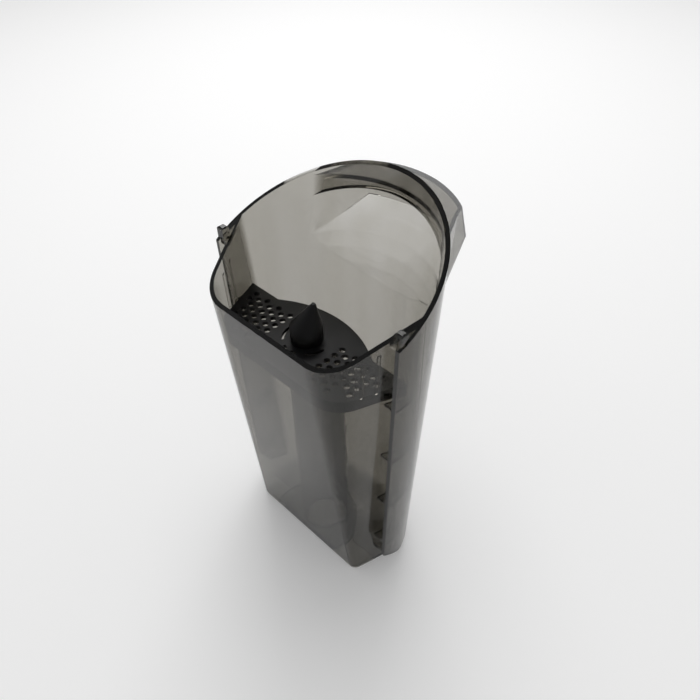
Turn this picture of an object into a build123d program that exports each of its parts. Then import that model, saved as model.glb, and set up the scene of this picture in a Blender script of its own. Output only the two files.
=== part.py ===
"""Dirty-water tank of a floor washer: a clear vessel, a drop-in strainer and an inlet seal.

X runs across the tank, the flat machine side faces -Y, the round front faces +Y and Z is up.
Sketches are drawn about the axis of the round front. The finished pieces are then moved along Y,
so that the origin lies under the middle of the whole, on the plane that the feet stand on.
"""
import os
from math import atan, cos, hypot, sqrt

from build123d import *

# Vessel: overall heights and walls
WALL = 2.2
FLOOR = 2.6
FOOT_HEIGHT = 1.4
REAR_RIM_HEIGHT = 177.3
RIM_SLOPE = 0.49
LOFT_TOP = 240.0

# Vessel: round front, an ellipse whose half axes grow with the height
FRONT_HALF_WIDTH_LOW = 57.5
FRONT_HALF_WIDTH_RISE = 0.029
FRONT_REACH_LOW = 46.0
FRONT_REACH_RISE = 0.0775
FRONT_BOTTOM_ROUND = 10.0

# Vessel: flat rear with splayed sides, which also grow with the height
REAR_PLACE_LOW = -17.0
REAR_PLACE_RISE = -0.091
REAR_HALF_WIDTH_LOW = 42.8
REAR_HALF_WIDTH_RISE = 0.004
SIDE_SPLAY_LOW = 0.31
SIDE_SPLAY_RISE = 0.000625
REAR_CORNER_LOW = 5.5
REAR_CORNER_RISE = 0.09
REAR_BOTTOM_ROUND = 1.5
SIDE_REACH = 70.0

# Wings: the round skin runs on past the side walls
WING_EDGE = -8.0
WING_EDGE_RAKE = 0.01
WING_ROOT = 16.0
WING_BOTTOM = 14.0
WING_BOTTOM_PLACE = 4.0
WING_BOTTOM_RAKE = 0.8
SOLE_THICK = 1.8
GUSSET_COUNT = 4
GUSSET_LOW = 33.0
GUSSET_PITCH = 38.8
GUSSET_THICK = 1.8
GUSSET_SETBACK = 1.5
LEDGE_THICK = 2.2
LUG_WIDTH = 4.6
LUG_DEPTH = 4.2
LUG_RISE = 5.5
LUG_ROUND = 1.0
LUG_SETBACK = 0.6

# Brow: the grip lip outside the round rim, and the curtain that hangs behind it
BROW_LOW_HEIGHT = 148.0
BROW_ROOT_HEIGHT = 155.0
BROW_ROOT_FLARE = 3.0
BROW_ROOT_TUCK = 0.25
BROW_TIP_HEIGHT = 178.8
BROW_TIP_SETBACK = 16.8446
BROW_TIP_FACET = 2.1
BROW_FLARE_STEPS = 6
BROW_RIDGE_HEIGHT = 194.5
BROW_FRONT = 82.0
BROW_RIDGE_SETBACK = 12.8
BROW_RIDGE_SAG = 6.5
BROW_RIDGE_EDGE = 51.4
BROW_LIP_HEIGHT = 218.0
BROW_LIP_FRONT = 77.6
BROW_LIP_SETBACK = 10.8
BROW_LIP_SAG = 12.1
BROW_LIP_EDGE = 61.8
BROW_SIDE_RAKE = 0.443
BROW_SIDE_PLACE = 20.0
BROW_SHELF_HEIGHT = 211.5
BROW_SHELF_PLACE = 40.0
BROW_SHELF_SLOPE = 0.15
CURTAIN_DROP = 12.5
CURTAIN_START = 30.0

# Suction duct, its plinth on the floor and the seal under it
DUCT_PLACE = 1.0
DUCT_BORE = 12.0
DUCT_WALL = 2.2
PLINTH_RADIUS = 27.0
PLINTH_PLACE = -8.0
PLINTH_RISE = 4.0
SEAL_WIDTH = 2.2
SEAL_HEIGHT = 3.0
SEAL_LIP = 0.6
SEAL_CLEARANCE = 0.1

# Keeper ribs on the side walls, which the strainer snaps under
KEEPER_RIB_WIDTH = 1.4
KEEPER_RIB_PROUD = 0.7
KEEPER_RIB_PLACES = (-16.0, -9.0)
KEEPER_RIB_BELOW_RIM = 6.0
KEEPER_RIB_CLEARANCE = 0.3

# Feet under the floor
FOOT_INSET = 0.8
FOOT_GAP_HALF = 23.0
REAR_FOOT_DEPTH = 15.0
FRONT_FOOT_PLACE = 20.0
FRONT_FOOT_DEPTH = 6.0
FRONT_FOOT_HALF_WIDTH = 16.0

# Strainer
STRAINER_HEIGHT = 158.0
STRAINER_THICK = 2.0
STRAINER_SKIRT = 7.0
STRAINER_SKIRT_WALL = 1.6
STRAINER_CLEARANCE = 0.3
STRAINER_FAR_EDGE = 6.0
STRAINER_NOTCH = 34.0
STRAINER_BULGE = 10.8
HOLE_RADIUS = 1.8
HOLE_PITCH = 5.2
HOLE_FIELD_START = 19.0
HOLE_MARGIN = 1.6
CORNER_SOFTEN = 9.0
SPIGOT_WALL = 1.4
SPIGOT_DEPTH = 8.0
SPIGOT_CLEARANCE = 0.3

# Hood over the duct's outlet, open to the front
HOOD_PLACE = -4.7
HOOD_RADIUS = 8.3
HOOD_WALL = 1.4
HOOD_MOUTH_PLACE = 1.8
HOOD_SHOULDER = 8.5
HOOD_APEX = 18.5
HOOD_APEX_PLACE = 1.0
HOOD_APEX_RADIUS = 1.0
HOOD_APEX_INNER_RADIUS = 0.5
SLOT_RADIUS = 12.3
SLOT_WIDTH = 1.5
SLOT_STARTS = (-81.5, -44.5)
SLOT_SPANS = (9.0, 39.5)

FLOOR_TOP = FOOT_HEIGHT + FLOOR
DUCT_RADIUS = DUCT_BORE + DUCT_WALL
PLATE_UNDERSIDE = STRAINER_HEIGHT - STRAINER_THICK
SKIRT_BOTTOM = STRAINER_HEIGHT - STRAINER_SKIRT
SPIGOT_RADIUS = DUCT_BORE - SPIGOT_CLEARANCE
LUG_PLACE = WING_EDGE + GUSSET_SETBACK + LUG_DEPTH / 2


def front_axes(level, inset):
    """Half axes of the round front at a level, moved inward by an inset."""
    rise = level - FOOT_HEIGHT
    half_width = FRONT_HALF_WIDTH_LOW + FRONT_HALF_WIDTH_RISE * rise
    reach = FRONT_REACH_LOW + FRONT_REACH_RISE * rise
    return half_width - inset, reach - inset


def rear_sizes(level, inset):
    """Rear place, rear half width and side splay at a level, moved inward by an inset."""
    rise = level - FOOT_HEIGHT
    splay = SIDE_SPLAY_LOW + SIDE_SPLAY_RISE * rise
    half_width = REAR_HALF_WIDTH_LOW + REAR_HALF_WIDTH_RISE * rise
    place = REAR_PLACE_LOW + REAR_PLACE_RISE * rise
    return place + inset, half_width + inset * splay - inset * hypot(1, splay), splay


def rear_corner(level, inset):
    """Radius of the rear corners at a level, moved inward by an inset."""
    return REAR_CORNER_LOW + REAR_CORNER_RISE * (level - FOOT_HEIGHT) - inset


def front_outline(level, inset):
    """Outline of the round front at a level."""
    with BuildSketch(Plane.XY.offset(level)) as outline:
        Ellipse(*front_axes(level, inset))
    return outline.sketch


def rear_outline(level, inset):
    """Outline of the flat rear with its splayed sides at a level."""
    place, half_width, splay = rear_sizes(level, inset)
    far_half_width = half_width + splay * (SIDE_REACH - place)
    with BuildSketch(Plane.XY.offset(level)) as outline:
        with BuildLine():
            Polyline(
                (-half_width, place),
                (half_width, place),
                (far_half_width, SIDE_REACH),
                (-far_half_width, SIDE_REACH),
                close=True,
            )
        make_face()
        fillet(outline.vertices().group_by(Axis.Y)[0], rear_corner(level, inset))
    return outline.sketch


BROW_TIP_HALF_WIDTH = front_axes(BROW_TIP_HEIGHT, 0)[0] - BROW_TIP_SETBACK
BROW_RIDGE_CORNER = (BROW_TIP_HALF_WIDTH - BROW_RIDGE_SETBACK, BROW_FRONT - BROW_RIDGE_SAG)
BROW_LIP_CORNER = (BROW_TIP_HALF_WIDTH - BROW_LIP_SETBACK, BROW_LIP_FRONT - BROW_LIP_SAG)


def skin_reach(x, level):
    """Distance of the round skin from the axis plane at a place in X."""
    half_width, reach = front_axes(level, 0)
    return reach * sqrt(1 - (x / half_width) ** 2)


def brow_side(y):
    """Half width of the brow's straight side, which leaves the skin at the brow's tip, at a place in Y."""
    return BROW_TIP_HALF_WIDTH - BROW_SIDE_RAKE * (y - skin_reach(BROW_TIP_HALF_WIDTH, BROW_TIP_HEIGHT))


def brow_outline(level, front, corner, edge, inset):
    """Outline of the brow at a level: a bowed front, two corner facets and two straight sides."""
    root = (edge[0] + BROW_SIDE_RAKE * (edge[1] - BROW_SIDE_PLACE), BROW_SIDE_PLACE)
    with BuildSketch(Plane.XY.offset(level)) as outline:
        with BuildLine():
            ThreePointArc((-corner[0], corner[1]), (0, front), corner)
            Polyline(
                corner,
                edge,
                root,
                (-root[0], root[1]),
                (-edge[0], edge[1]),
                (-corner[0], corner[1]),
            )
        make_face()
        if inset > 0:
            offset(amount=-inset)
    return outline.sketch


def flare_outline(level, inset):
    """Outline of the brow below its ridge, where the wall flares out to it."""
    share = (level - BROW_ROOT_HEIGHT) / (BROW_RIDGE_HEIGHT - BROW_ROOT_HEIGHT)
    bulge = BROW_FRONT - front_axes(BROW_RIDGE_HEIGHT, 0)[1] - BROW_ROOT_FLARE
    front = front_axes(level, 0)[1] + bulge * share * abs(share) + BROW_ROOT_FLARE * share
    rise = max(level - BROW_TIP_HEIGHT, 0) / (BROW_RIDGE_HEIGHT - BROW_TIP_HEIGHT)
    tuck = BROW_ROOT_TUCK * max(BROW_TIP_HEIGHT - level, 0)
    low_level = min(level, BROW_TIP_HEIGHT)
    corner_x = BROW_TIP_HALF_WIDTH - BROW_TIP_FACET
    corner_y = skin_reach(corner_x, low_level) - tuck
    edge_y = skin_reach(BROW_TIP_HALF_WIDTH, low_level) - tuck
    corner = (
        corner_x + rise * (BROW_RIDGE_CORNER[0] - corner_x),
        corner_y + rise * (BROW_RIDGE_CORNER[1] - corner_y),
    )
    edge = (
        BROW_TIP_HALF_WIDTH + rise * (brow_side(BROW_RIDGE_EDGE) - BROW_TIP_HALF_WIDTH),
        edge_y + rise * (BROW_RIDGE_EDGE - edge_y),
    )
    return brow_outline(level, front, corner, edge, inset)


def brow_sections(inset):
    """The brow's outlines, from inside the wall up to its ridge and on to its lip."""
    step = (BROW_RIDGE_HEIGHT - BROW_LOW_HEIGHT) / BROW_FLARE_STEPS
    sections = []
    for index in range(BROW_FLARE_STEPS + 1):
        sections.append(flare_outline(BROW_LOW_HEIGHT + index * step, inset))
    lip_edge = (brow_side(BROW_LIP_EDGE), BROW_LIP_EDGE)
    sections.append(brow_outline(BROW_LIP_HEIGHT, BROW_LIP_FRONT, BROW_LIP_CORNER, lip_edge, inset))
    return sections


def slanted_plane(height, y, slope):
    """Plane through a height at a place in Y that rises toward the front."""
    length = hypot(1, slope)
    return Plane(origin=(0, y, height), x_dir=(1, 0, 0), z_dir=(0, -slope / length, 1 / length))


RIM_PLANE = slanted_plane(REAR_RIM_HEIGHT, rear_sizes(REAR_RIM_HEIGHT, 0)[0], RIM_SLOPE)
CURTAIN_PLANE = RIM_PLANE.offset(-CURTAIN_DROP * cos(atan(RIM_SLOPE)))
SHELF_PLANE = slanted_plane(BROW_SHELF_HEIGHT, BROW_SHELF_PLACE, BROW_SHELF_SLOPE)
WING_BOTTOM_PLANE = slanted_plane(WING_BOTTOM, WING_BOTTOM_PLACE, -WING_BOTTOM_RAKE)
WING_EDGE_PLANE = Plane(
    origin=(0, WING_EDGE, REAR_RIM_HEIGHT),
    x_dir=(1, 0, 0),
    z_dir=(0, -1, -WING_EDGE_RAKE),
)


def rim_height(y):
    """Height of the rim plane at a place in Y."""
    return REAR_RIM_HEIGHT + RIM_SLOPE * (y - rear_sizes(REAR_RIM_HEIGHT, 0)[0])


def hood_outline(level, place, radius):
    """Round plan of the hood at a level."""
    with BuildSketch(Plane.XY.offset(level)) as outline:
        with Locations((0, place)):
            Circle(radius)
    return outline.sketch


def hood_sections(inset, apex_radius):
    """Plans of the hood: its foot, its shoulder and its apex, which leans to the front."""
    radius = HOOD_RADIUS - inset
    return [
        hood_outline(PLATE_UNDERSIDE, HOOD_PLACE, radius),
        hood_outline(STRAINER_HEIGHT + HOOD_SHOULDER - inset, HOOD_PLACE, radius),
        hood_outline(STRAINER_HEIGHT + HOOD_APEX - 2 * inset, HOOD_APEX_PLACE, apex_radius),
    ]


def strainer_outline(inset):
    """Plan of the strainer, taken from the vessel's inside at the foot of its skirt."""
    fit = WALL + STRAINER_CLEARANCE + inset
    place, half_width, splay = rear_sizes(SKIRT_BOTTOM, fit)
    far_edge = STRAINER_FAR_EDGE - inset
    far_half_width = half_width + splay * (far_edge - place)
    notch = STRAINER_NOTCH - inset
    with BuildSketch(Plane.XY.offset(SKIRT_BOTTOM)) as outline:
        with BuildLine():
            Polyline(
                (-notch, far_edge),
                (-far_half_width, far_edge),
                (-half_width, place),
                (half_width, place),
                (far_half_width, far_edge),
                (notch, far_edge),
            )
            ThreePointArc((notch, far_edge), (0, far_edge + STRAINER_BULGE), (-notch, far_edge))
        make_face()
        fillet(outline.vertices().group_by(Axis.Y)[0], rear_corner(SKIRT_BOTTOM, fit))
    return outline.sketch


def hole_places():
    """Places of the strainer's holes: a hexagonal field on each side of the hood."""
    edge = WALL + STRAINER_CLEARANCE + STRAINER_SKIRT_WALL + HOLE_MARGIN + HOLE_RADIUS
    place, half_width, splay = rear_sizes(SKIRT_BOTTOM, edge)
    column_pitch = HOLE_PITCH * sqrt(3) / 2
    column_count = int((half_width + splay * (STRAINER_FAR_EDGE - place) - HOLE_FIELD_START) / column_pitch)
    row_count = int((STRAINER_FAR_EDGE - place) / HOLE_PITCH) + 1
    far_row = STRAINER_FAR_EDGE - STRAINER_SKIRT_WALL - HOLE_MARGIN - HOLE_RADIUS
    places = []
    for column in range(column_count + 1):
        x = HOLE_FIELD_START + column * column_pitch
        for row in range(row_count):
            y = far_row - (row + column % 2 / 2) * HOLE_PITCH
            corner = hypot(max(x - half_width + CORNER_SOFTEN, 0), max(place + CORNER_SOFTEN - y, 0))
            if y >= place and x <= half_width + splay * (y - place) and corner <= CORNER_SOFTEN:
                places += [(x, y), (-x, y)]
    return places


def slot_path(start, span):
    """Centre line of one drain slot around the hood."""
    with BuildLine() as path:
        CenterArc((0, HOOD_PLACE), SLOT_RADIUS, start, span)
    return path.edges()[0]


def skin_place(y, level):
    """Distance of the round skin from the middle plane at a place in Y."""
    half_width, reach = front_axes(level, 0)
    return half_width * sqrt(1 - (y / reach) ** 2)


TO_MIDDLE = Location((0, -(BROW_FRONT + rear_sizes(REAR_RIM_HEIGHT, 0)[0]) / 2, 0))
LUG_OFFSET = skin_place(LUG_PLACE, rim_height(LUG_PLACE)) - LUG_SETBACK - LUG_WIDTH / 2

# Helper solids that the vessel is made from
with BuildPart() as round_outside:
    loft(sections=[front_outline(FOOT_HEIGHT, 0), front_outline(LOFT_TOP, 0)])
    fillet(round_outside.faces().sort_by(Axis.Z)[0].edges(), FRONT_BOTTOM_ROUND)

with BuildPart() as round_inside:
    loft(sections=[front_outline(FLOOR_TOP, WALL), front_outline(LOFT_TOP, WALL)])
    fillet(round_inside.faces().sort_by(Axis.Z)[0].edges(), FRONT_BOTTOM_ROUND - WALL)

with BuildPart() as splayed_outside:
    loft(sections=[rear_outline(FOOT_HEIGHT, 0), rear_outline(LOFT_TOP, 0)])
    fillet(splayed_outside.faces().sort_by(Axis.Z)[0].edges(), REAR_BOTTOM_ROUND)

with BuildPart() as splayed_inside:
    loft(sections=[rear_outline(FLOOR_TOP, WALL), rear_outline(LOFT_TOP, WALL)])

with BuildPart() as cavity:
    add(round_inside.part)
    add(splayed_inside.part, mode=Mode.INTERSECT)

# Brow and the curtain behind it
with BuildPart() as brow:
    loft(sections=brow_sections(0), ruled=True)
    split(bisect_by=SHELF_PLANE, keep=Keep.BOTTOM)

with BuildPart() as brow_cavity:
    loft(sections=brow_sections(WALL), ruled=True)
    split(bisect_by=SHELF_PLANE.offset(-WALL), keep=Keep.BOTTOM)

with BuildPart() as curtain:
    add(round_outside.part)
    add(round_inside.part, mode=Mode.SUBTRACT)
    split(bisect_by=Plane.XZ.offset(-CURTAIN_START), keep=Keep.BOTTOM)
    split(bisect_by=CURTAIN_PLANE, keep=Keep.TOP)
    split(bisect_by=RIM_PLANE, keep=Keep.BOTTOM)

# Wings, with the ledges, soles, gussets and lugs between them and the side walls
with BuildPart() as wedge_gaps:
    add(round_outside.part)
    add(splayed_outside.part, mode=Mode.SUBTRACT)
    split(bisect_by=WING_EDGE_PLANE.offset(-GUSSET_SETBACK), keep=Keep.BOTTOM)
    split(bisect_by=Plane.XZ.offset(-WING_ROOT), keep=Keep.TOP)

with BuildPart() as ledges:
    add(wedge_gaps.part)
    split(bisect_by=RIM_PLANE, keep=Keep.BOTTOM)
    split(bisect_by=RIM_PLANE.offset(-LEDGE_THICK), keep=Keep.TOP)

with BuildPart() as soles:
    add(wedge_gaps.part)
    split(bisect_by=WING_BOTTOM_PLANE, keep=Keep.TOP)
    split(bisect_by=WING_BOTTOM_PLANE.offset(SOLE_THICK), keep=Keep.BOTTOM)

with BuildPart() as gussets:
    for index in range(GUSSET_COUNT):
        with BuildSketch(Plane.XY.offset(GUSSET_LOW + index * GUSSET_PITCH)):
            Rectangle(4 * FRONT_HALF_WIDTH_LOW, 4 * FRONT_REACH_LOW)
        extrude(amount=GUSSET_THICK)
    add(wedge_gaps.part, mode=Mode.INTERSECT)

with BuildPart() as wings:
    add(round_outside.part)
    loft(sections=[front_outline(FOOT_HEIGHT, WALL), front_outline(LOFT_TOP, WALL)], mode=Mode.SUBTRACT)
    split(bisect_by=WING_EDGE_PLANE, keep=Keep.BOTTOM)
    split(bisect_by=Plane.XZ.offset(-WING_ROOT), keep=Keep.TOP)
    split(bisect_by=WING_BOTTOM_PLANE, keep=Keep.TOP)
    split(bisect_by=RIM_PLANE, keep=Keep.BOTTOM)

with BuildPart() as lugs:
    with BuildSketch(Plane.XY.offset(rim_height(LUG_PLACE) - LEDGE_THICK)):
        with Locations((LUG_OFFSET, LUG_PLACE), (-LUG_OFFSET, LUG_PLACE)):
            Rectangle(LUG_WIDTH, LUG_DEPTH)
    extrude(amount=LEDGE_THICK + LUG_RISE)
    fillet(lugs.faces().group_by(Axis.Z)[-1].edges(), LUG_ROUND)

# Keeper ribs that stand proud of the side walls just above the strainer
with BuildPart() as keeper_ribs:
    with BuildSketch(Plane.XY.offset(STRAINER_HEIGHT + KEEPER_RIB_CLEARANCE)):
        for place in KEEPER_RIB_PLACES:
            with Locations((0, place)):
                Rectangle(4 * REAR_HALF_WIDTH_LOW, KEEPER_RIB_WIDTH)
    extrude(amount=LOFT_TOP - STRAINER_HEIGHT)
    add(splayed_outside.part, mode=Mode.INTERSECT)
    loft(
        sections=[
            rear_outline(FLOOR_TOP, WALL + KEEPER_RIB_PROUD),
            rear_outline(LOFT_TOP, WALL + KEEPER_RIB_PROUD),
        ],
        mode=Mode.SUBTRACT,
    )
    split(bisect_by=RIM_PLANE.offset(-KEEPER_RIB_BELOW_RIM), keep=Keep.BOTTOM)

# Feet: two under the rear corners and one under the round front
with BuildPart() as feet:
    extrude(rear_outline(FOOT_HEIGHT, FOOT_INSET), amount=-FOOT_HEIGHT)
    split(bisect_by=Plane.XZ.offset(-REAR_PLACE_LOW - REAR_FOOT_DEPTH), keep=Keep.TOP)
    with BuildSketch():
        Rectangle(2 * FOOT_GAP_HALF, 4 * FRONT_REACH_LOW)
    extrude(amount=FOOT_HEIGHT, mode=Mode.SUBTRACT)
    with BuildSketch():
        with Locations((0, FRONT_FOOT_PLACE)):
            SlotOverall(2 * FRONT_FOOT_HALF_WIDTH, FRONT_FOOT_DEPTH)
    extrude(amount=FOOT_HEIGHT)

with BuildPart() as plinth:
    with BuildSketch(Plane.XY.offset(FOOT_HEIGHT)):
        with Locations((0, PLINTH_PLACE)):
            Circle(PLINTH_RADIUS)
    extrude(amount=FLOOR + PLINTH_RISE)
    add(splayed_outside.part, mode=Mode.INTERSECT)

# Tank body: one clear moulding
with BuildPart() as tank_body:
    add(round_outside.part)
    add(splayed_outside.part, mode=Mode.INTERSECT)
    split(bisect_by=RIM_PLANE, keep=Keep.BOTTOM)
    for piece in (brow, wings, ledges, soles, gussets, lugs):
        add(piece.part)
    add(cavity.part, mode=Mode.SUBTRACT)
    add(brow_cavity.part, mode=Mode.SUBTRACT)
    for piece in (curtain, keeper_ribs, feet, plinth):
        add(piece.part)
    with BuildSketch(Plane.XY.offset(FOOT_HEIGHT)):
        with Locations((0, DUCT_PLACE)):
            Circle(DUCT_RADIUS)
    extrude(amount=PLATE_UNDERSIDE - FOOT_HEIGHT)
    with BuildSketch(Plane.XY.offset(FOOT_HEIGHT)):
        with Locations((0, DUCT_PLACE)):
            Circle(DUCT_BORE)
    extrude(amount=PLATE_UNDERSIDE - FOOT_HEIGHT, mode=Mode.SUBTRACT)
    with BuildSketch(Plane.XY.offset(FOOT_HEIGHT)):
        with Locations((0, DUCT_PLACE)):
            Circle(DUCT_BORE + SEAL_WIDTH + SEAL_CLEARANCE)
    extrude(amount=SEAL_HEIGHT, mode=Mode.SUBTRACT)

# Inlet seal: a rubber ring in the recess under the duct
with BuildPart() as inlet_seal:
    with BuildSketch(Plane.XY.offset(FOOT_HEIGHT)):
        with Locations((0, DUCT_PLACE)):
            Circle(DUCT_BORE + SEAL_WIDTH)
            Circle(DUCT_BORE - SEAL_LIP, mode=Mode.SUBTRACT)
    extrude(amount=SEAL_HEIGHT)

# Hood: a round peaked cowl, closed to the rear and open to the front
with BuildPart() as hood:
    loft(sections=hood_sections(0, HOOD_APEX_RADIUS), ruled=True)
    loft(sections=hood_sections(HOOD_WALL, HOOD_APEX_INNER_RADIUS), ruled=True, mode=Mode.SUBTRACT)
    split(bisect_by=Plane.XZ.offset(-HOOD_MOUTH_PLACE), keep=Keep.TOP)

# Strainer: a perforated plate with a skirt, a spigot for the duct and the hood
with BuildPart() as strainer:
    extrude(strainer_outline(0), amount=STRAINER_SKIRT)
    with BuildSketch(Plane.XY.offset(SKIRT_BOTTOM)):
        add(strainer_outline(STRAINER_SKIRT_WALL))
    extrude(amount=STRAINER_SKIRT - STRAINER_THICK, mode=Mode.SUBTRACT)
    with BuildSketch(Plane.XY.offset(PLATE_UNDERSIDE - SPIGOT_DEPTH)):
        with Locations((0, DUCT_PLACE)):
            Circle(SPIGOT_RADIUS)
            Circle(SPIGOT_RADIUS - SPIGOT_WALL, mode=Mode.SUBTRACT)
    extrude(amount=SPIGOT_DEPTH)
    add(hood.part)
    with BuildSketch(Plane.XY.offset(PLATE_UNDERSIDE)):
        with Locations((0, DUCT_PLACE)):
            Circle(SPIGOT_RADIUS - SPIGOT_WALL)
        add(hood_outline(PLATE_UNDERSIDE, HOOD_PLACE, HOOD_RADIUS - HOOD_WALL), mode=Mode.INTERSECT)
    extrude(amount=STRAINER_THICK, mode=Mode.SUBTRACT)
    with BuildSketch(Plane.XY.offset(PLATE_UNDERSIDE)):
        for start, span in zip(SLOT_STARTS, SLOT_SPANS):
            SlotArc(slot_path(start, span), SLOT_WIDTH)
            SlotArc(slot_path(180 - start - span, span), SLOT_WIDTH)
        with Locations(*hole_places()):
            Circle(HOLE_RADIUS)
    extrude(amount=STRAINER_THICK, mode=Mode.SUBTRACT)

os.makedirs("parts", exist_ok=True)
tank_body.part = tank_body.part.moved(TO_MIDDLE)
tank_body.part.label = "tank_body"
export_step(tank_body.part, "parts/tank_body.step")
strainer.part = strainer.part.moved(TO_MIDDLE)
strainer.part.label = "strainer"
export_step(strainer.part, "parts/strainer.step")
inlet_seal.part = inlet_seal.part.moved(TO_MIDDLE)
inlet_seal.part.label = "inlet_seal"
export_step(inlet_seal.part, "parts/inlet_seal.step")
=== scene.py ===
"""Dresses the packed dirty-water tank and lights it as its product photo does.

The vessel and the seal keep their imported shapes. A copy of the strainer stands in for it, with the drain
holes at the plate's ends that the solid lacks. The vessel gets a smoky clear plastic that darkens with
the depth that light crosses, the strainer a satin black and the seal a dull rubber.
"""
import logging
import math
from dataclasses import dataclass
from enum import Enum

import bpy
from mathutils import Matrix, Vector


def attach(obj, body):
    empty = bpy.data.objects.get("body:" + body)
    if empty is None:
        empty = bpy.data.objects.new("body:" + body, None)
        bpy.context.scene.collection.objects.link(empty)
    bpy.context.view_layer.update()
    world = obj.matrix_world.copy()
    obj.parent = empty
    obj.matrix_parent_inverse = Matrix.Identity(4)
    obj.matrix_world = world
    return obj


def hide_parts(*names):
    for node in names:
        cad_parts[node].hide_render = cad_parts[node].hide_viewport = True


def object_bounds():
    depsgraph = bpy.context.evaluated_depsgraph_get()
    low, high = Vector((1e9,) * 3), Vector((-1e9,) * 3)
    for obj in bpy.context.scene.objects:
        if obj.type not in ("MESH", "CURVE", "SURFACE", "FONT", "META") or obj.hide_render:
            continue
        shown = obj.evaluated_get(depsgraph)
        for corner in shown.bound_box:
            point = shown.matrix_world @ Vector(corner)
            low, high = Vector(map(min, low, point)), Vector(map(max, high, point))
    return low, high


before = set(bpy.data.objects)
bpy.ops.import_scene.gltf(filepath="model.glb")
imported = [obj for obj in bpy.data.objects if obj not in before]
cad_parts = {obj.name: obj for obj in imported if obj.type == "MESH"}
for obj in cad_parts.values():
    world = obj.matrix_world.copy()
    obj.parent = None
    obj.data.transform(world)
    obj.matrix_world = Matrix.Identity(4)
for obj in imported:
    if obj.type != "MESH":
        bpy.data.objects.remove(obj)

Colour = tuple[float, float, float]
Point = tuple[float, float, float]

CAD_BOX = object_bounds()
MILLIMETRE = 0.001

log = logging.getLogger("tank_scene")


class Piece(Enum):
    """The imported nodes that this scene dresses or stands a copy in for."""

    TANK_BODY = "tank_body"
    STRAINER = "strainer"
    INLET_SEAL = "inlet_seal"


class LampRole(Enum):
    """What each lamp of the studio is for."""

    KEY = "key_lamp"
    BACK = "back_panel"


def opaque(colour: Colour) -> tuple[float, float, float, float]:
    """Gives a colour the alpha of one that a colour socket needs.

    Args:
        colour: Red, green and blue.

    Returns:
        The colour with its alpha.
    """
    return (*colour, 1.0)


def add_node(tree: bpy.types.NodeTree, kind: str, **inputs: object) -> bpy.types.Node:
    """Adds a shader node and sets the inputs that are named.

    Args:
        tree: The node tree that gets the node.
        kind: The node's Blender type, such as ShaderNodeBump.
        inputs: Values by input name, with an underscore for each space.

    Returns:
        The new node.
    """
    node = tree.nodes.new(kind)
    for name, value in inputs.items():
        node.inputs[name.replace("_", " ")].default_value = value
    return node


def add_tint(tree: bpy.types.NodeTree, dark: Colour, light: Colour) -> bpy.types.Node:
    """Adds a mix of two colours.

    Args:
        tree: The node tree that gets the mix.
        dark: The colour at a factor of zero.
        light: The colour at a factor of one.

    Returns:
        The mix, with its factor still to be linked.
    """
    tint = tree.nodes.new("ShaderNodeMix")
    tint.data_type = "RGBA"
    tint.inputs["A"].default_value = opaque(dark)
    tint.inputs["B"].default_value = opaque(light)
    return tint


def new_material(name: str) -> tuple[bpy.types.Material, bpy.types.NodeTree, bpy.types.Node]:
    """Makes an empty node material.

    Args:
        name: The material's name.

    Returns:
        The material, its tree and its output node.
    """
    material = bpy.data.materials.new(name)
    material.use_nodes = True
    tree = material.node_tree
    tree.nodes.clear()
    return material, tree, add_node(tree, "ShaderNodeOutputMaterial")


def select_only(thing: bpy.types.Object) -> None:
    """Selects one object and makes it active, for the operator that follows.

    Args:
        thing: The object to select.
    """
    bpy.ops.object.select_all(action="DESELECT")
    thing.select_set(True)
    bpy.context.view_layer.objects.active = thing


class MouldGrain:
    """The fine spark texture that a mould leaves on plastic and rubber, as one shared node group."""

    NAME = "mould_grain"
    GRAIN_DETAIL = 3.0
    GRAIN_ROUGHNESS = 0.6
    CLOUD_DETAIL = 2.0
    CLOUD_ROUGHNESS = 0.5

    @classmethod
    def group(cls) -> bpy.types.NodeTree:
        """Returns the group, and builds it the first time."""
        found = bpy.data.node_groups.get(cls.NAME)
        return found or cls._build()

    @classmethod
    def _build(cls) -> bpy.types.NodeTree:
        """Builds the group: a fine grain for bump and a broad cloud for colour and roughness."""
        tree = bpy.data.node_groups.new(cls.NAME, "ShaderNodeTree")
        tree.interface.new_socket("Grain Scale", in_out="INPUT", socket_type="NodeSocketFloat")
        tree.interface.new_socket("Cloud Scale", in_out="INPUT", socket_type="NodeSocketFloat")
        tree.interface.new_socket("Height", in_out="OUTPUT", socket_type="NodeSocketFloat")
        tree.interface.new_socket("Cloud", in_out="OUTPUT", socket_type="NodeSocketFloat")
        entry = tree.nodes.new("NodeGroupInput")
        leave = tree.nodes.new("NodeGroupOutput")
        place = tree.nodes.new("ShaderNodeTexCoord")
        grain = add_node(
            tree,
            "ShaderNodeTexNoise",
            Detail=cls.GRAIN_DETAIL,
            Roughness=cls.GRAIN_ROUGHNESS,
        )
        cloud = add_node(
            tree,
            "ShaderNodeTexNoise",
            Detail=cls.CLOUD_DETAIL,
            Roughness=cls.CLOUD_ROUGHNESS,
        )
        tree.links.new(place.outputs["Object"], grain.inputs["Vector"])
        tree.links.new(place.outputs["Object"], cloud.inputs["Vector"])
        tree.links.new(entry.outputs["Grain Scale"], grain.inputs["Scale"])
        tree.links.new(entry.outputs["Cloud Scale"], cloud.inputs["Scale"])
        tree.links.new(grain.outputs["Fac"], leave.inputs["Height"])
        tree.links.new(cloud.outputs["Fac"], leave.inputs["Cloud"])
        return tree


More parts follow.
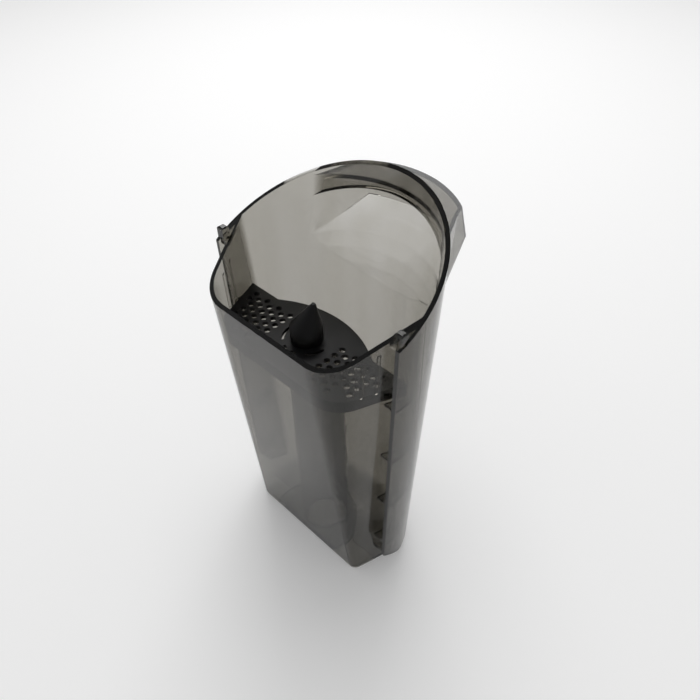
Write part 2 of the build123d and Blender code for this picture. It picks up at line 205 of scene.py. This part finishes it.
@dataclass(frozen=True)
class MouldedBlack:
    """A dark moulded finish with a fine grain, for the strainer's plastic and the seal's rubber."""

    name: str
    dark: Colour
    light: Colour
    roughness_low: float
    roughness_high: float
    grain_scale: float
    cloud_scale: float
    bump_strength: float
    bump_distance: float
    specular: float

    def material(self) -> bpy.types.Material:
        """Builds the finish as a material."""
        material, tree, output = new_material(self.name)
        shader = add_node(tree, "ShaderNodeBsdfPrincipled", Specular_IOR_Level=self.specular)
        grain = tree.nodes.new("ShaderNodeGroup")
        grain.node_tree = MouldGrain.group()
        grain.inputs["Grain Scale"].default_value = self.grain_scale
        grain.inputs["Cloud Scale"].default_value = self.cloud_scale
        tint = add_tint(tree, self.dark, self.light)
        sheen = add_node(
            tree,
            "ShaderNodeMapRange",
            To_Min=self.roughness_low,
            To_Max=self.roughness_high,
        )
        bump = add_node(
            tree,
            "ShaderNodeBump",
            Strength=self.bump_strength,
            Distance=self.bump_distance,
        )
        tree.links.new(grain.outputs["Cloud"], tint.inputs["Factor"])
        tree.links.new(grain.outputs["Cloud"], sheen.inputs["Value"])
        tree.links.new(grain.outputs["Height"], bump.inputs["Height"])
        tree.links.new(tint.outputs["Result"], shader.inputs["Base Color"])
        tree.links.new(sheen.outputs["Result"], shader.inputs["Roughness"])
        tree.links.new(bump.outputs["Normal"], shader.inputs["Normal"])
        tree.links.new(shader.outputs["BSDF"], output.inputs["Surface"])
        return material


@dataclass(frozen=True)
class SmokyClear:
    """Polished smoky plastic: thicker stretches look darker, and its walls wave a little."""

    name: str = "smoky_clear"
    streak_dark: Colour = (0.90, 0.895, 0.87)
    streak_light: Colour = (0.98, 0.98, 0.975)
    smoke: Colour = (0.16, 0.13, 0.06)
    smoke_density: float = 450.0
    refraction: float = 1.46
    roughness_low: float = 0.004
    roughness_high: float = 0.025
    wave_scale: float = 55.0
    wave_detail: float = 1.0
    wave_stretch: float = 0.12
    wave_low: float = 0.3
    wave_high: float = 0.7
    wave_strength: float = 0.12
    wave_distance: float = 0.8 * MILLIMETRE

    def material(self) -> bpy.types.Material:
        """Builds the finish as a material."""
        material, tree, output = new_material(self.name)
        shader = add_node(
            tree,
            "ShaderNodeBsdfPrincipled",
            Transmission_Weight=1.0,
            IOR=self.refraction,
        )
        smoke = add_node(
            tree,
            "ShaderNodeVolumeAbsorption",
            Color=opaque(self.smoke),
            Density=self.smoke_density,
        )
        place = tree.nodes.new("ShaderNodeTexCoord")
        drawn = add_node(tree, "ShaderNodeMapping", Scale=(1.0, 1.0, self.wave_stretch))
        wave = add_node(
            tree,
            "ShaderNodeTexNoise",
            Scale=self.wave_scale,
            Detail=self.wave_detail,
        )
        spread = add_node(
            tree,
            "ShaderNodeMapRange",
            From_Min=self.wave_low,
            From_Max=self.wave_high,
        )
        streak = add_tint(tree, self.streak_dark, self.streak_light)
        haze = add_node(
            tree,
            "ShaderNodeMapRange",
            To_Min=self.roughness_low,
            To_Max=self.roughness_high,
        )
        bump = add_node(
            tree,
            "ShaderNodeBump",
            Strength=self.wave_strength,
            Distance=self.wave_distance,
        )
        tree.links.new(place.outputs["Object"], drawn.inputs["Vector"])
        tree.links.new(drawn.outputs["Vector"], wave.inputs["Vector"])
        tree.links.new(wave.outputs["Fac"], spread.inputs["Value"])
        tree.links.new(spread.outputs["Result"], streak.inputs["Factor"])
        tree.links.new(streak.outputs["Result"], shader.inputs["Base Color"])
        tree.links.new(spread.outputs["Result"], haze.inputs["Value"])
        tree.links.new(wave.outputs["Fac"], bump.inputs["Height"])
        tree.links.new(haze.outputs["Result"], shader.inputs["Roughness"])
        tree.links.new(bump.outputs["Normal"], shader.inputs["Normal"])
        tree.links.new(shader.outputs["BSDF"], output.inputs["Surface"])
        tree.links.new(smoke.outputs["Volume"], output.inputs["Volume"])
        return material


SATIN_BLACK = MouldedBlack(
    name="satin_black",
    dark=(0.002, 0.002, 0.0025),
    light=(0.0045, 0.0045, 0.005),
    roughness_low=0.34,
    roughness_high=0.48,
    grain_scale=2600.0,
    cloud_scale=90.0,
    bump_strength=0.25,
    bump_distance=0.1 * MILLIMETRE,
    specular=0.22,
)
SEAL_RUBBER = MouldedBlack(
    name="seal_rubber",
    dark=(0.012, 0.012, 0.012),
    light=(0.022, 0.022, 0.021),
    roughness_low=0.7,
    roughness_high=0.85,
    grain_scale=1800.0,
    cloud_scale=140.0,
    bump_strength=0.3,
    bump_distance=0.1 * MILLIMETRE,
    specular=0.3,
)


@dataclass(frozen=True)
class DressedNode:
    """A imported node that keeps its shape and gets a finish."""

    piece: Piece
    finish: SmokyClear | MouldedBlack

    def dress(self) -> bpy.types.Object:
        """Puts the finish on the node.

        Returns:
            The node's object.
        """
        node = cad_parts[self.piece.value]
        node.data.materials.clear()
        node.data.materials.append(self.finish.material())
        return node


@dataclass(frozen=True)
class HoleColumn:
    """A column of drain holes, the same on both sides of the strainer's middle.

    Attributes:
        across: How far the column is from the middle.
        far_end: Where along Y its hole nearest to the round front is.
        count: How many holes it has.
    """

    across: float
    far_end: float
    count: int


@dataclass(frozen=True)
class PiercedStrainer:
    """The strainer with further drain holes, which carry both hole fields on to the plate's ends."""

    name: str = "pierced_strainer"
    slot: str = "black_plastic"
    weld: float = 0.001 * MILLIMETRE
    radius: float = 1.8 * MILLIMETRE
    pitch: float = 5.2 * MILLIMETRE
    plate_middle: float = 157.0 * MILLIMETRE
    cut_depth: float = 6.0 * MILLIMETRE
    facets: int = 32
    columns: tuple[HoleColumn, ...] = (
        HoleColumn(across=41.52 * MILLIMETRE, far_end=-26.1 * MILLIMETRE, count=4),
        HoleColumn(across=46.02 * MILLIMETRE, far_end=-23.5 * MILLIMETRE, count=2),
    )

    def build(self) -> bpy.types.Object:
        """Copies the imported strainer, cuts the holes and puts the copy in the strainer's place.

        Returns:
            The pierced strainer.
        """
        plate = self._welded_copy()
        self._cut(plate, self._cutter())
        plate.data.materials.clear()
        plate.data.materials.append(SATIN_BLACK.material())
        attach(plate, "root")
        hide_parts(Piece.STRAINER.value)
        return plate

    def _welded_copy(self) -> bpy.types.Object:
        """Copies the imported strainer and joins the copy's loose triangles into a closed mesh."""
        select_only(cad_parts[Piece.STRAINER.value])
        bpy.ops.object.duplicate()
        plate = bpy.context.object
        plate.name = self.name
        bpy.ops.object.mode_set(mode="EDIT")
        bpy.ops.mesh.select_all(action="SELECT")
        bpy.ops.mesh.remove_doubles(threshold=self.weld)
        bpy.ops.object.mode_set(mode="OBJECT")
        return plate

    def _cutter(self) -> bpy.types.Object:
        """Joins one round cutter for each hole on both sides."""
        cutters = []
        for column in self.columns:
            for row in range(column.count):
                along = column.far_end - row * self.pitch
                for across in (-column.across, column.across):
                    bpy.ops.object.select_all(action="DESELECT")
                    bpy.ops.mesh.primitive_cylinder_add(
                        vertices=self.facets,
                        radius=self.radius,
                        depth=self.cut_depth,
                        location=(across, along, self.plate_middle),
                    )
                    cutters.append(bpy.context.object)
        for cutter in cutters:
            cutter.select_set(True)
        bpy.ops.object.join()
        return bpy.context.object

    def _cut(self, plate: bpy.types.Object, cutter: bpy.types.Object) -> None:
        """Takes the cutter's shape out of the plate, and the cutter out of the scene.

        Args:
            plate: The copy of the strainer.
            cutter: The joined round cutters.
        """
        cut = plate.modifiers.new("holes", "BOOLEAN")
        cut.operation = "DIFFERENCE"
        cut.solver = "EXACT"
        cut.object = cutter
        select_only(plate)
        bpy.ops.object.modifier_apply(modifier=cut.name)
        bpy.data.objects.remove(cutter)


@dataclass(frozen=True)
class SoftLamp:
    """A square soft lamp that faces the tank, and shows in its polished walls or not."""

    role: LampRole
    place: Point
    size: float
    power: float
    mirrored: bool

    def build(self) -> None:
        """Hangs the lamp."""
        bpy.ops.object.select_all(action="DESELECT")
        bpy.ops.object.light_add(type="AREA", location=self.place)
        lamp = bpy.context.object
        lamp.name = self.role.value
        lamp.data.shape = "SQUARE"
        lamp.data.size = self.size
        lamp.data.energy = self.power
        lamp.visible_glossy = self.mirrored
        lamp.visible_transmission = self.mirrored
        middle = (CAD_BOX[0] + CAD_BOX[1]) / 2
        lamp.rotation_euler = (middle - Vector(self.place)).to_track_quat("-Z", "Y").to_euler()


@dataclass(frozen=True)
class Studio:
    """A plain pale floor, a white surround that is dimmer overhead, and two soft lamps."""

    floor_half_size: float = 3.0
    floor_colour: Colour = (0.9, 0.9, 0.9)
    floor_roughness: float = 0.8
    lift_colour: Colour = (1.0, 1.0, 1.0)
    floor_lift: float = 0.14
    horizon_light: float = 1.0
    overhead_light: float = 0.35
    horizon_height: float = 0.25
    overhead_height: float = 0.8
    lamps: tuple[SoftLamp, ...] = (
        SoftLamp(
            role=LampRole.KEY,
            place=(-0.4, 0.35, 1.5),
            size=1.0,
            power=7.2,
            mirrored=False,
        ),
        SoftLamp(
            role=LampRole.BACK,
            place=(-0.88, 0.93, 1.19),
            size=0.9,
            power=6.6,
            mirrored=True,
        ),
    )

    def build(self) -> None:
        """Builds the floor, the surround and the lamps."""
        self._floor()
        self._surround()
        for lamp in self.lamps:
            lamp.build()

    def _floor(self) -> None:
        """Adds the pale floor, a little brighter where it is seen, with the tank's shadow kept."""
        bpy.ops.object.select_all(action="DESELECT")
        bpy.ops.mesh.primitive_plane_add(size=2 * self.floor_half_size)
        floor = bpy.context.object
        floor.name = "studio_floor"
        material, tree, output = new_material("pale_floor")
        shader = add_node(
            tree,
            "ShaderNodeBsdfPrincipled",
            Base_Color=opaque(self.floor_colour),
            Roughness=self.floor_roughness,
            Emission_Color=opaque(self.lift_colour),
        )
        path = tree.nodes.new("ShaderNodeLightPath")
        seen = tree.nodes.new("ShaderNodeMath")
        seen.operation = "MAXIMUM"
        shown = tree.nodes.new("ShaderNodeMath")
        shown.operation = "MAXIMUM"
        lift = add_node(tree, "ShaderNodeMapRange", To_Max=self.floor_lift)
        tree.links.new(path.outputs["Is Camera Ray"], seen.inputs[0])
        tree.links.new(path.outputs["Is Glossy Ray"], seen.inputs[1])
        tree.links.new(seen.outputs["Value"], shown.inputs[0])
        tree.links.new(path.outputs["Is Transmission Ray"], shown.inputs[1])
        tree.links.new(shown.outputs["Value"], lift.inputs["Value"])
        tree.links.new(lift.outputs["Result"], shader.inputs["Emission Strength"])
        tree.links.new(shader.outputs["BSDF"], output.inputs["Surface"])
        floor.data.materials.append(material)

    def _surround(self) -> None:
        """Makes the world white round the horizon and dimmer overhead."""
        world = bpy.data.worlds.new("studio_surround")
        bpy.context.scene.world = world
        world.use_nodes = True
        tree = world.node_tree
        tree.nodes.clear()
        output = add_node(tree, "ShaderNodeOutputWorld")
        light = add_node(tree, "ShaderNodeBackground")
        place = tree.nodes.new("ShaderNodeTexCoord")
        split = tree.nodes.new("ShaderNodeSeparateXYZ")
        grade = add_node(
            tree,
            "ShaderNodeMapRange",
            From_Min=self.horizon_height,
            From_Max=self.overhead_height,
            To_Min=self.horizon_light,
            To_Max=self.overhead_light,
        )
        tree.links.new(place.outputs["Generated"], split.inputs["Vector"])
        tree.links.new(split.outputs["Z"], grade.inputs["Value"])
        tree.links.new(grade.outputs["Result"], light.inputs["Strength"])
        tree.links.new(light.outputs["Background"], output.inputs["Surface"])


@dataclass(frozen=True)
class PhotoCamera:
    """The camera at the photo's viewing angle."""

    place: Point = (0.18735, -0.18627, 0.37176)
    azimuth: float = math.radians(45.02)
    elevation: float = math.radians(42.40)
    roll: float = math.radians(-0.95)
    lens: float = 33.43

    def build(self) -> None:
        """Adds the camera and makes it the scene's own."""
        bpy.ops.object.select_all(action="DESELECT")
        bpy.ops.object.camera_add()
        camera = bpy.context.object
        camera.name = "photo_camera"
        camera.data.lens = self.lens
        back = Vector((
            math.sin(self.azimuth) * math.cos(self.elevation),
            -math.cos(self.azimuth) * math.cos(self.elevation),
            math.sin(self.elevation),
        ))
        aim = back.to_track_quat("Z", "Y").to_matrix() @ Matrix.Rotation(self.roll, 3, "Z")
        camera.matrix_world = Matrix.Translation(Vector(self.place)) @ aim.to_4x4()
        bpy.context.scene.camera = camera


def main() -> None:
    """Dresses the tank, then builds the studio and the camera."""
    logging.basicConfig(level=logging.INFO, format="%(message)s")
    bpy.context.scene.view_settings.view_transform = "Standard"
    for dressed in (
        DressedNode(Piece.TANK_BODY, SmokyClear()),
        DressedNode(Piece.INLET_SEAL, SEAL_RUBBER),
    ):
        log.info("dressed %s", dressed.dress().name)
    log.info("built %s", PiercedStrainer().build().name)
    Studio().build()
    PhotoCamera().build()


if __name__ == "__main__":
    main()
